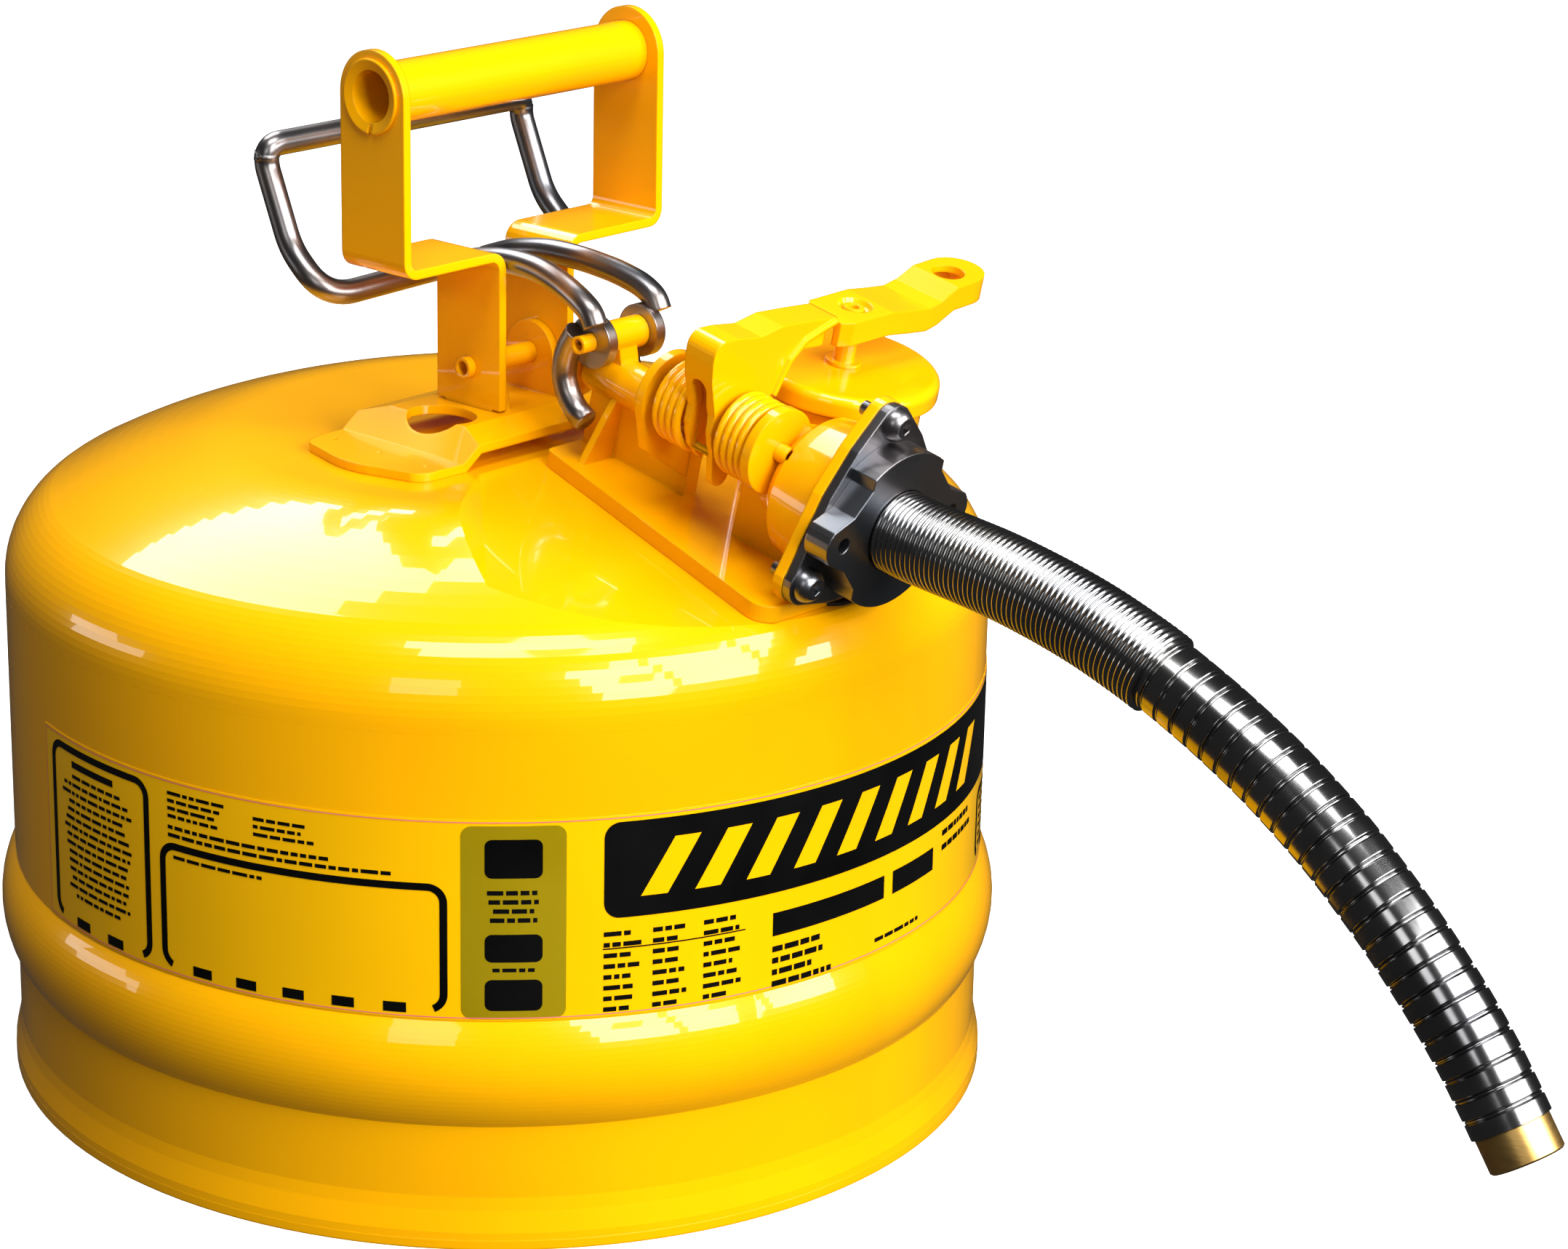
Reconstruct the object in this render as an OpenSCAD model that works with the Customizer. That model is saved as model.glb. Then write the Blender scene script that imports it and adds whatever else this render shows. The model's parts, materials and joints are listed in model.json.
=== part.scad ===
// Two-opening safety can: round steel body, fixed carry handle, squeeze trigger that opens a pour
// valve to a flexible metal hose, and a spring-closed fill cap on a hinged lever.
// mm, +Z up, origin at the centre of the base, +X towards the hose, +Y towards the fill cap.

/* [Body] */
// outside radius of the cylindrical wall
body_r = 144.6; // [120:0.1:170]
// body sheet thickness with its coating
sheet_t = 0.8; // [0.5:0.05:1.5]
// height of the top of the knuckle, where the wall goes straight
wall_top = 150.5; // [100:0.5:260]
// height of the flat middle of the dome
dome_z = 191; // [140:0.5:300]
// knuckle radius at the rim of the dome
knuckle_r = 27.2; // [10:0.1:50]
// crown radius of the dome
crown_r = 165.35; // [100:0.5:300]
// height of the stiffening bead
bead_z = 51.2; // [20:0.5:120]
// half width of the bead along the wall
bead_half = 15.4; // [5:0.5:30]
// how far the bead stands out
bead_out = 4.4; // [1:0.1:10]
// outside radius of the base rim
rim_r = 146.5; // [120:0.1:175]
// label bottom edge
label_z0 = 67.2; // [20:0.5:150]
// label top edge
label_z1 = 124.4; // [30:0.5:200]
// label wraps this many degrees each way from its middle
label_half = 105.5; // [30:0.5:175]
// direction of the label's middle
label_mid = 0; // [-180:1:180]

/* [Carry handle] */
// across the outsides of the two straps
strap_out = 51.72; // [40:0.1:80]
// strap sheet thickness
strap_t = 2.65; // [1.5:0.05:4]
// strap width
strap_w = 25.8; // [15:0.1:40]
// middle of the strap along X
strap_x = 3.46; // [-20:0.1:20]
// height of the grip tube axis
grip_z = 296; // [230:0.5:360]
// grip tube radius
grip_r = 8.75; // [6:0.05:16]
// height of the strap's horizontal flange, top face
flange_z = 248.2; // [210:0.5:280]
// outside of the lower strap legs
leg_out = 15; // [10:0.1:30]
// strap shoulder height
shoulder_z = 201.2; // [190:0.1:215]
// saddle plate top height
saddle_z = 200.7; // [192:0.1:215]
// handle pin height
hpin_z = 212.2; // [200:0.1:230]
// handle pin radius
hpin_r = 3.175; // [2:0.05:5]

/* [Manifold] */
// manifold frame origin, X
man_x = 48.8; // [20:0.1:80]
// manifold frame origin, Z
man_z = 215.1; // [180:0.1:260]
// nose-down tilt of the manifold
man_tilt = 12; // [0:0.5:30]
// underside of the base plate below the frame origin
seat = -27; // [-40:0.5:-15]
// base plate thickness
plate_t = 5; // [2:0.5:10]
// guide tube radius
tube_r = 6.6; // [5:0.1:12]
// pour valve stem radius
stem_r = 2; // [1.5:0.1:5]
// bell housing radius
bell_r = 21; // [15:0.5:30]
// fill neck outside radius
neck_r = 23.4; // [15:0.5:30]
// fill neck bore radius
neck_bore = 19; // [10:0.5:25]
// fill neck centre along the manifold
neck_x = 51.6; // [30:0.1:80]
// fill neck centre across the manifold
neck_y = 34.5; // [25:0.1:60]

/* [Trigger] */
// trigger wire radius
wire_r = 3.6; // [2:0.1:5]
// half the width of the squeeze bail, between the wire's centres
bail_half = 51; // [35:0.5:60]
// hub radius
hub_r = 7.6; // [5:0.1:12]
// trigger pin radius
tpin_r = 2.6; // [1.5:0.05:4]
// trigger pin along X from the manifold origin
tpin_x = -2.5; // [-20:0.1:20]
// trigger pin above the manifold origin
tpin_z = 11.9; // [5:0.1:30]

/* [Fill lever] */
// hinge pin across the manifold
hinge_y = -14; // [-30:0.1:0]
// hinge pin above the manifold axis
hinge_z = 11.6; // [5:0.1:30]
// hinge pin radius
lpin_r = 2.6; // [1.5:0.05:4]
// spring wire radius
coil_wire = 1.22; // [0.5:0.02:2]
// spring coil centreline radius
coil_r = 10.75; // [8:0.05:16]
// cap radius
cap_r = 27; // [18:0.5:40]
// cap top above the manifold origin
cap_top = 19.8; // [10:0.1:40]
// cap post centre, back from the cap's own centre
post_back = 1.2; // [0:0.1:5]

/* [Hose] */
// outside radius of the close-wound length next to the can
hose_r = 11.6; // [8:0.05:20]
// outside radius of the banded length
band_r = 10.35; // [8:0.05:20]
// hose bore radius
hose_bore = 8; // [5:0.1:18]
// outside radius of the brass end ring
tip_r = 9.57; // [7:0.01:20]
// length of the brass end ring past the hose
tip_len = 9.3; // [5:0.1:30]

/* [Hidden] */
$fn = 96;
e = 0.02;
yellow = [0.96, 0.78, 0.02];
dark = [0.28, 0.28, 0.3];
steel = [0.5, 0.5, 0.52];
rubber = [0.08, 0.08, 0.08];
brass = [0.78, 0.6, 0.25];
function arc(cx, cy, r, a0, a1, n) =
    [for (i = [0:n]) let(a = a0 + (a1 - a0) * i / n) [cx + r * cos(a), cy + r * sin(a)]];
// dome profile
kc_r = body_r - knuckle_r;
cr_c = [52.7, dome_z - 162.6];
fil_r = 60;
seam_z = 148;
fil_c = [cr_c[0] + sqrt(pow(crown_r - fil_r, 2) - pow(dome_z - fil_r - cr_c[1], 2)), dome_z - fil_r];
a_f = atan2(fil_c[0] - cr_c[0], fil_c[1] - cr_c[1]);
a_k = atan2(kc_r - cr_c[0], wall_top - cr_c[1]);
function dome_pts(o) = concat([[0, dome_z - o]],
    arc(fil_c[0], fil_c[1], fil_r - o, 90, 90 - a_f, 6),
    arc(cr_c[0], cr_c[1], crown_r - o, 89 - a_f, 90 - a_k, 8),
    arc(kc_r, wall_top, knuckle_r - o, 88 - a_k, 0, 14));

module loc() { translate([man_x, 0, man_z]) rotate([0, man_tilt, 0]) children(); }
module alongx(x0, x1) { translate([x0, 0, 0]) rotate([90, 0, 90]) linear_extrude(x1 - x0) children(); }
module cylx(x0, x1, r, y = 0, z = 0, f = 64) {
    translate([x0, y, z]) rotate([0, 90, 0]) cylinder(h = x1 - x0, r = r, $fn = f);
}
module cyly(y0, y1, r, x = 0, z = 0, f = 64) {
    translate([x, y0, z]) rotate([-90, 0, 0]) cylinder(h = y1 - y0, r = r, $fn = f);
}
module alongy(y0, y1) { translate([0, y1, 0]) rotate([90, 0, 0]) linear_extrude(y1 - y0) children(); }
module revx() { rotate([0, 90, 0]) rotate_extrude() children(); }

// round wire swept along a list of points
function unit(v) = v / norm(v);
function tang(p, i) = unit(i == 0 ? p[1] - p[0] : i == len(p) - 1 ? p[i] - p[i - 1]
    : unit(p[i + 1] - p[i]) + unit(p[i] - p[i - 1]));
function flat_on(v, t) = unit(v - (v * t) * t);
function frames(p, v0) = [for (i = 0, t = tang(p, 0), v = flat_on(v0, t); i < len(p);
    i = i + 1, t = tang(p, min(i, len(p) - 1)), v = flat_on(v, t)) [t, v]];
module wire(p, r, n = 12, up = [0.01, 0.02, 1]) {
    f = frames(p, up);
    m = len(p);
    pts = [for (i = [0:m - 1]) for (k = [0:n - 1]) let(a = 360 * k / n, t = f[i][0], v = f[i][1])
        p[i] + r * (cos(a) * v + sin(a) * cross(t, v))];
    side = [for (i = [0:m - 2]) for (k = [0:n - 1]) let(k2 = (k + 1) % n)
        each [[i * n + k, (i + 1) * n + k, (i + 1) * n + k2], [i * n + k, (i + 1) * n + k2, i * n + k2]]];
    polyhedron(pts, concat(side, [[for (k = [0:n - 1]) k]], [[for (k = [n - 1:-1:0]) (m - 1) * n + k]]));
}
// corner rounding of a polyline: radius given as the distance cut back from each corner
function soft(p, c, n = 5) = concat([p[0]], [for (i = [1:len(p) - 2])
    let(a = p[i] + c[i] * unit(p[i - 1] - p[i]), b = p[i] + c[i] * unit(p[i + 1] - p[i]))
    for (k = [0:n]) let(s = k / n) (1 - s) * (1 - s) * a + 2 * s * (1 - s) * p[i] + s * s * b],
    [p[len(p) - 1]]);

// ---- body ----
module body_shell() {
    br = (bead_half * bead_half + bead_out * bead_out) / (2 * bead_out);
    ba = asin(bead_half / br);
    function side(o) = concat(
        [[rim_r - o, 3], [rim_r - o - 0.1, 5], [body_r - o + 0.5, 11], [body_r - o, 14.8]],
        [for (p = arc(body_r + bead_out - br, bead_z, br - o, -ba, ba, 20)) [max(p[0], body_r - o), p[1]]],
        [[body_r - o, seam_z]]);
    color(yellow) rotate_extrude($fn = 180) polygon(concat(side(0),
        [for (i = [len(side(sheet_t)) - 1:-1:0]) side(sheet_t)[i]]));
}
module dome_blank(o) {
    top = dome_pts(o);
    skirt_r = body_r - sheet_t - 0.03;
    low = o == 0 ? [[body_r, seam_z + e], [skirt_r, seam_z + e], [skirt_r, 138], [0, 138]]
        : [[body_r - sheet_t, 149.2], [skirt_r - sheet_t, 147.6], [skirt_r - sheet_t, 136], [0, 136]];
    rotate_extrude($fn = 180) polygon(concat(top, low));
}
// flat seat pressed into the dome under the manifold
module pad(o) {
    loc() translate([0, 0, seat - o]) difference() {
        translate([-60, -120, 0]) cube([200, 240, 60]);
        for (s = [-1, 1]) translate([-25.7, s * (25.6 + o), 0]) rotate([0, 0, s * 41.6])
            rotate([s * -62, 0, 0]) translate([-90, s > 0 ? 0 : -150, -90]) cube([260, 150, 180]);
    }
}
module dome_top() {
    color(yellow) difference() {
        dome_blank(0);
        pad(0);
        difference() { dome_blank(sheet_t); pad(sheet_t); }
        loc() translate([neck_x, neck_y, seat - 10]) cylinder(h = 20, r = neck_bore + 0.6);
        loc() translate([83.5, 0, seat - 10]) cylinder(h = 20, r = 11);
    }
}
module base_rim() {
    color(yellow) rotate_extrude($fn = 180)
        polygon([[143, 0], [rim_r, 0], [rim_r, 2.98], [143, 2.98]]);
}
module bottom_pan() {
    color(steel) rotate_extrude($fn = 180) polygon(concat([[0, 8], [0, 7.2]],
        [[138, 7.2]], arc(138, 3.2, 4, 80, 0, 6),
        [[142, 0.6], [142.96, 0.6]], arc(138, 3.2, 4.96, 0, 80, 6), [[138, 8]]));
}
module label() {
    color(yellow) rotate([0, 0, label_mid - label_half]) rotate_extrude(angle = 2 * label_half, $fn = 180)
        translate([body_r + 0.02, label_z0]) square([0.15, label_z1 - label_z0]);
}

// ---- handle ----
// solid under the saddle's sheet, d below its outside
module saddle_form(d) {
    foot = 193.65 - d;
    intersection() {
        alongx(-30, 40) polygon([[-64, 150], [-64, foot], [-41.2 + d / 3, foot], [-31.4 + d / 3,
            saddle_z - d],
            [31.4 - d / 3, saddle_z - d], [41.2 - d / 3, foot], [64, foot], [64, 150]]);
        alongy(-70, 70) polygon([[-40, 150], [-40, 193], [-22, 198 - d], [-12, saddle_z - d],
            [19, saddle_z - d], [28.9, 198 - d], [50, 193], [50, 150]]);
    }
}
// one rounded foot of the saddle, seen from above, from its corner at +X round to its corner at -X
foot_plan = concat([[28.9, -40.5], [28.5, -50]], arc(22, -52, 6.5, -5, -65, 5),
    arc(3.5, -31, 31.5, -70, -110, 6), arc(-14.5, -52, 6.5, -115, -175, 5), [[-21.6, -50], [-22, -40.5]]);
module saddle_bracket() {
    ear_r = 9.5;
    color(yellow) difference() {
        union() {
            intersection() {
                difference() {
                    saddle_form(0);
                    saddle_form(strap_t - e);
                }
                translate([0, 0, dome_z + e]) linear_extrude(40) polygon(concat(foot_plan,
                    [for (i = [len(foot_plan) - 1:-1:0]) [foot_plan[i][0], -foot_plan[i][1]]]));
            }
            for (s = [-1, 1]) alongy(min(s * 9.6, s * 12.25), max(s * 9.6, s * 12.25))
                polygon(concat([[-9, saddle_z - 2], [-8, saddle_z + 2], [strap_x - ear_r, hpin_z]],
                    arc(strap_x, hpin_z, ear_r, 180, 0, 24),
                    [[strap_x + ear_r, hpin_z], [15, saddle_z + 2], [16, saddle_z - 2]]));
        }
        for (s = [-1, 1]) {
            // slot for the strap's tab, and the round opening beside it
            translate([-6.4, s * 13.86 - 1.54, 180]) cube([19.7, 3.08, 40]);
            translate([5.5, s * 27.5, 180]) scale([11.2, 8.8, 1]) cylinder(h = 40, r = 1, $fn = 48);
            // spot weld marks
            for (x = [-15.7, strap_x, 22.7]) translate([x, s * 49.8, 193.2]) cylinder(h = 3, r = 0.7,
                $fn = 16);
        }
        cyly(-20, 20, hpin_r + e, strap_x, hpin_z);
    }
}
module handle_pin() {
    color(yellow) difference() {
        cyly(-17.5, 17.5, hpin_r, strap_x, hpin_z, 48);
        cyly(-18, 18, 2.1, strap_x, hpin_z, 32);
    }
}
module strap(s) {
    t = strap_t;
    fz = flange_z;
    o = strap_out;
    // section in Y and Z: upper leg, jog, flange, lower leg
    sec = concat([[o - t, 312], [o, 312]],
        arc(o - 5, fz - t + 5, 5, 0, -90, 6), arc(leg_out + 3, fz - t - 3, 3, 90, 180, 5), [[leg_out,
            190], [leg_out - t, 190]],
        arc(leg_out - t + 5.65, fz - 5.65, 5.65, 180, 90, 6), arc(o - t - 2.35, fz + 2.35, 2.35, -90, 0,
            5));
    hw = strap_w / 2;
    color(yellow) difference() {
        intersection() {
            alongx(strap_x - hw, strap_x + hw) polygon([for (p = sec) [s * p[0], p[1]]]);
            alongy(min(0, s * 60), max(0, s * 60)) polygon(concat(
                [[strap_x + hw, shoulder_z], [strap_x + hw, grip_z]], arc(strap_x, grip_z, hw, 0, 180, 32),
                [[strap_x - hw, shoulder_z], [strap_x - 9.66, shoulder_z]],
                arc(strap_x - 7.66, 199, 2, 180, 270, 4), arc(strap_x + 7.66, 199, 2, 270, 360, 4),
                    [[strap_x + 9.66, shoulder_z]]));
        }
        cyly(-60, 60, grip_r + e, strap_x, grip_z);
        cyly(-20, 20, hpin_r + e, strap_x, hpin_z);
    }
}
module handle_strap_left() { strap(1); }
module handle_strap_right() { strap(-1); }
module grip_tube() {
    a = strap_out - strap_t;
    color(yellow) translate([strap_x, 0, grip_z]) rotate([-90, 0, 0]) difference() {
        rotate_extrude() polygon([[grip_r - 1.4, -strap_out - 0.2], [10.2, -strap_out - 1.1], [10.75,
            -strap_out - 0.7],
            [10.6, -strap_out - e], [grip_r, -strap_out - e], [grip_r, strap_out + e], [10.6,
                strap_out + e],
            [10.75, strap_out + 0.7], [10.2, strap_out + 1.1], [grip_r - 1.4, strap_out + 0.2]]);
        for (s = [-1, 1]) translate([0, 10, s * (strap_out + 1)]) cube([1.6, 5, 1.6], center = true);
    }
}

// ---- manifold casting ----
tri = [[90, 28], [210, 28], [330, 28]];
function flange_out(k) = concat(arc(0, 26, 7 + k, 125, 55, 6), [[13 + k, 22], [21 + k, 10]],
    arc(24.25, -14, 6.2 + k, 35, -75, 6), [[13, -22.4 - k * 0.2], [-13, -22.4 - k * 0.2]],
    arc(-24.25, -14, 6.2 + k, 255, 145, 6), [[-21 - k, 10], [-13 - k, 22]]);
module manifold() {
    b = seat + plate_t;
    color(yellow) loc() difference() {
        union() {
            translate([0, 0, seat + 0.05]) linear_extrude(plate_t - 0.05) polygon(concat([[-7, 15.2],
                [-7, -15.2]],
                arc(-4.8, -15, 2.2, 190, 260, 4), arc(87.6, -26.6, 6.1, 260, 370, 8), arc(87.6, 26.6,
                    6.1, -10, 80, 8),
                [[82, 33.6]], arc(neck_x, neck_y, 29, 25, 155, 16), [[24, 22.8]], arc(-4.8, 15, 2.2, 100,
                    170, 4)));
            // trigger T-tube on its leaning web
            cyly(-7.8, 7.8, 4.7, tpin_x, tpin_z);
            alongy(-3.55, 3.55) polygon([[-6, b - 1], [6.5, b - 1], [4.6, 3], [1.2, tpin_z], [-5.2,
                tpin_z]]);
            // guide tube, its web and gussets
            cylx(-8, 30.6, tube_r);
            alongy(-2.6, 2.6) polygon([[-6, b - 1], [33.4, b - 1], [33.4, -1], [-6, -1]]);
            for (s = [-1, 1]) alongx(3.6, 5.9) polygon([[s * 2, -2], [s * 4.6, -2], [s * 15.2, b - 0.5],
                [s * 2, b - 0.5]]);
            // rear lug
            cylx(30.2, 33, 12.3, hinge_y, hinge_z);
            alongx(30.2, 33) polygon([[-25.2, 7], [-21.5, -4], [-3, -16], [2.6, -16], [5, 0], [3, 10],
                [-6, 20]]);
            // pour block behind the bell
            alongx(57.6, 77) polygon([[-8, b - 1], [8, b - 1], [8, 8], [4, 11], [-4, 11], [-8, 8]]);
            alongy(-8, 8) polygon([[57, b - 1], [90, b - 1], [90, -10], [57.6, -10]]);
            // front lug and its ledge into the bell
            cylx(69.9, 72.9, 12.3, hinge_y, hinge_z);
            alongx(69.9, 76) polygon([[-14, 8], [-16, -2], [-8, -12], [6, -12], [6, 14], [-4, 17]]);
            // bell and flange
            revx() polygon([[0, 72.9], [14, 72.9], [18, 74.6], [20.4, 77.4], [bell_r, 81], [bell_r + 0.8,
                87],
                [bell_r + 1.6, 92.2], [0, 92.2]]);
            alongx(91.8, 95) polygon(flange_out(0.4));
        }
        cyly(-8, 8, tpin_r + 0.02, tpin_x, tpin_z);
        cylx(-9, 78, stem_r + 0.05, f = 48);
        cylx(-9, 20, stem_r + 1.2, f = 48);
        cylx(29, 78, lpin_r + 0.02, hinge_y, hinge_z);
        // stem runs open between the lugs, under the lever
        translate([34.5, -30, -7.5]) cube([21.5, 38, 60]);
        cylx(55, 69.85, 12.6, hinge_y, hinge_z);
        cylx(77, 96, 16);
        translate([83.5, 0, seat - 1]) cylinder(h = 24, r = 9.5);
        translate([83.5, 0, seat - 1]) cylinder(h = 2.2, r = 12.5);
        translate([neck_x, neck_y, b + e - 0.01]) cylinder(h = 60, r = neck_r + 0.01);
        translate([neck_x, neck_y, seat - 1]) cylinder(h = 60, r = neck_bore);
        translate([neck_x, neck_y, seat - 1]) cylinder(h = 2.2, r = neck_bore + 2.5);
        for (q = tri) cylx(86, 96, 2.1, q[1] * cos(q[0]), q[1] * sin(q[0]), 32);
    }
}
module fill_neck() {
    color(yellow) loc() translate([neck_x, neck_y, seat + plate_t + e]) difference() {
        cylinder(h = 12.55 - seat - plate_t - e, r = neck_r);
        translate([0, 0, -1]) cylinder(h = 60, r = neck_bore);
    }
}
module manifold_gasket() {
    color(rubber) loc() for (q = [[83.5, 0, 9.7, 12.4], [neck_x, neck_y, neck_bore + 0.1, neck_bore + 2.4]])
        translate([q[0], q[1], seat + 0.05]) difference() {
            cylinder(h = 1.1, r = q[3]);
            translate([0, 0, -1]) cylinder(h = 4, r = q[2]);
        }
}

// ---- pour valve ----
module valve_stem() {
    color(steel) loc() cylx(-17.9, 92, stem_r, f = 48);
}
module plunger_disc() {
    color(yellow) loc() difference() {
        revx() polygon([[0, -17.4], [4, -17.4], [4.6, -15.8], [11.4, -15.4], [12, -14.8], [12, -13.5],
            [11.4, -12.9], [0, -12.9]]);
        cylx(-20, -10, stem_r + e, f = 48);
    }
}
module valve_disc() {
    color(steel) loc() difference() {
        cylx(88.6, 91.6, 13.2);
        cylx(88, 93, stem_r + e, f = 48);
    }
}
module valve_seal() {
    color(rubber) loc() difference() {
        cylx(91.62, 94.98, 13);
        cylx(91, 96, stem_r + e, f = 48);
    }
}
function coil(x0, pitch, turns, r, a0, n) = [for (i = [0:n * turns]) let(a = a0 + 360 * i / n)
    [x0 + pitch * i / n, r * cos(a), r * sin(a)]];
module valve_spring() {
    color(steel) loc() wire(coil(77.73, 2.53, 4, 7, 0, 16), 0.7, 8, [1, 0.02, 0.01]);
}
module pour_arrester() {
    color(steel) loc() translate([83.5, 0, seat - 26]) difference() {
        union() { cylinder(h = 26, r = 9.3); translate([0, 0, 25.2]) cylinder(h = 0.8, r = 9.3); }
        translate([0, 0, 0.8]) cylinder(h = 30, r = 8.5);
        for (k = [0:3], h = [6, 13, 20]) translate([0, 0, h]) rotate([0, 90, 45 * k])
            cylinder(h = 24, r = 1.6, center = true, $fn = 16);
    }
}
module fill_arrester() {
    color(steel) loc() translate([neck_x, neck_y, seat - 60]) difference() {
        cylinder(h = 60 + 20, r = neck_bore - 0.05);
        translate([0, 0, 0.8]) cylinder(h = 90, r = neck_bore - 0.85);
        for (k = [0:3], h = [8, 20, 32, 44]) translate([0, 0, h]) rotate([0, 90, 45 * k + 4])
            cylinder(h = 50, r = 2.2, center = true, $fn = 16);
    }
}

// ---- trigger ----
module trigger_wire() {
    px = man_x + tpin_x * cos(man_tilt) + tpin_z * sin(man_tilt);
    pz = man_z - tpin_x * sin(man_tilt) + tpin_z * cos(man_tilt);
    w = bail_half;
    half = [[52.4, -12.9, 232.8], [50.6, -12.9, 236.4], [46, -12.6, 239.2], [38, -11.2, 241.8],
        [26, -9, 244], [12, -8.4, 244.2], [-2, -8.4, 241.8], [-17.2, -8.8, 236.4],
        [-17.6, -w, 235], [-32, -w, 247], [-42.2, -w, 270.5], [-41.3, -w, 275.6]];
    cut = [0, 2, 3, 4, 6, 6, 6, 7, 11, 5, 3, 4.5];
    loop = concat(half, [for (i = [len(half) - 1:-1:0]) [half[i][0], -half[i][1], half[i][2]]]);
    cuts = concat(cut, [for (i = [len(cut) - 1:-1:0]) cut[i]]);
    hook = [[45.4, 230], [42.6, 226], [40.6, 221.4], [40, 216.6], [41.6, 211.6], [44.8, 207.4], [49.2,
        204.6]];
    color(dark) difference() {
        union() {
            wire(soft(loop, cuts), wire_r, 12);
            for (s = [-1, 1]) wire(soft([for (p = hook) [p[0], s * 12.9, p[1]]], [0, 2, 2, 2, 2, 2, 0], 3),
                wire_r, 12, [0, 1, 0]);
        }
        cyly(-7.85, 7.85, 5.1, px, pz);
        for (s = [-1, 1]) cyly(min(s * 7.9, s * 11.32), max(s * 7.9, s * 11.32), hub_r + e, px, pz);
        cyly(-20, 20, tpin_r + 0.45, px, pz);
    }
}
module hub(s) {
    color(dark) loc() difference() {
        cyly(min(s * 7.92, s * 11.3), max(s * 7.92, s * 11.3), hub_r, tpin_x, tpin_z);
        cyly(-20, 20, tpin_r + 0.06, tpin_x, tpin_z);
    }
}
module trigger_hub_left() { hub(1); }
module trigger_hub_right() { hub(-1); }
module trigger_pin() {
    color(yellow) loc() difference() {
        cyly(-16.3, 16.3, tpin_r, tpin_x, tpin_z, 48);
        cyly(-17, 17, 1.7, tpin_x, tpin_z, 32);
    }
}

// ---- fill lever ----
hood_line = concat([[-21.6, 4.5], [-24.2, 12], [-24, 17], [-25.7, 22], [-27.6, 27.4], [-28.6, 33]],
    arc(-24.4, 35.2, 4.2, 175, 100, 5), [[-19.8, 39.2], [-10.7, 38], [-2.3, 39.6], [8, 39], [17.4, 38.3],
        [20.4, 38],
    [14.5, 35.9], [8.3, 33.6], [3.4, 28.6], [1, 23.4], [-0.8, 19]]);
module lever_hood() {
    x0 = 46.6;
    x1 = 56.8;
    t = 2.2;
    color(yellow) loc() difference() {
        union() {
            alongx(x0, x1) polygon(concat([[-17, 0]], hood_line, [[-4.6, 10]]));
            cylx(x0, x1, 9.7, hinge_y, hinge_z);
            // stop tab on the front wall
            alongx(x1 - t, x1) polygon(concat([[-22, 6]], arc(-17.2, -1.8, 3.2, 180, 350, 8), [[-8, 5]]));
            // rolled bead along the inner edge of the front wall
            for (x = [x0, x1]) translate([x, 0, 0]) wire([for (p = [[-1.2, 19], [0.6, 23.4], [3, 28.6],
                [8, 33.4],
                [14.5, 35.6], [19.6, 37]]) [0, p[0], p[1]]], 1.1, 8, [1, 0, 0]);
        }
        // hollow between the two walls, open below and on the cap side
        alongx(x0 + t, x1 - t) polygon([[-19.5, -8], [-21.5, 20], [-23.6, 26.5], [-26.2, 33], [-23.4,
            36.6], [-19.8, 36.8],
            [-10.7, 35.6], [-2.3, 37.3], [8, 36.7], [17.4, 36], [24, 35.6], [24, 20], [8, -8]]);
        // keyhole in the end face
        translate([51.7, -32, 0]) rotate([-90, 0, 0]) linear_extrude(11.5) polygon(concat(
            [[-3.4, -4], [-2.9, -14], [-2.2, -19], [-2.6, -24]], arc(0, -24, 2.7, 180, 360, 8),
            [[2.2, -19], [2.9, -14], [3.4, -4]]));
        cylx(40, 60, lpin_r + 0.05, hinge_y, hinge_z);
    }
}
module lever_arm() {
    t = 2.2;
    hx = 51.7;
    top = [[4, 36.9], [17.6, 35.9], [24, 36.9], [40, 37.2], [48, 36.2], [56, 35.4], [61, 36.5], [67.5,
        39.6], [90, 40.9]];
    function down(d) = [for (i = [len(top) - 1:-1:0]) top[i] - [0, d]];
    function plan(k) = concat([[3, -5 + k], [19, -5 + k], [24, -8.6 + k], [58, -8.8 + k], [64, -8.6 + k]],
        arc(75.6, 0, 8.6 - k, -90, 90, 12), [[64, 8.6 - k], [58, 8.8 - k], [24, 8.6 - k], [19, 5 - k],
            [3, 5 - k]]);
    module shape(k) { translate([hx, 0, 0]) linear_extrude(60) polygon([for (p = plan(k)) [-p[1], p[0]]]); }
    color(yellow) loc() difference() {
        intersection() {
            alongx(40, 64) polygon(concat(top, down(7)));
            shape(0);
        }
        difference() {
            alongx(40, 64) polygon(concat([for (p = top) p - [0, t]], down(12)));
            difference() { translate([30, 0, 0]) cube([50, 100, 60]); shape(t); }
        }
        // room for the hood's walls and its inside
        alongx(40, hx - 2.86) polygon([[0, 20], [0, 45], [20.8, 45], [20.8, 20]]);
        alongx(hx + 2.86, 64) polygon([[0, 20], [0, 45], [20.8, 45], [20.8, 20]]);
        alongx(40, 64) polygon([[0, 37.25], [-2.3, 45], [20.8, 45], [20.8, 35.9], [17.4, 35.95], [8,
            36.65]]);
        // dished rivet seat and its hole, and the hole in the end
        translate([neck_x, neck_y - post_back, 35.8]) cylinder(h = 5, r1 = 4.2, r2 = 7.6, $fn = 48);
        translate([neck_x, neck_y - post_back, 28]) cylinder(h = 12, r = 3.05, $fn = 48);
        translate([hx, 72.8, 28]) cylinder(h = 20, r = 4.7, $fn = 48);
    }
}
module lever_pin() {
    color(yellow) loc() difference() {
        cylx(27.2, 76.7, lpin_r, hinge_y, hinge_z, 48);
        cylx(26, 78, 1.7, hinge_y, hinge_z, 32);
    }
}
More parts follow.
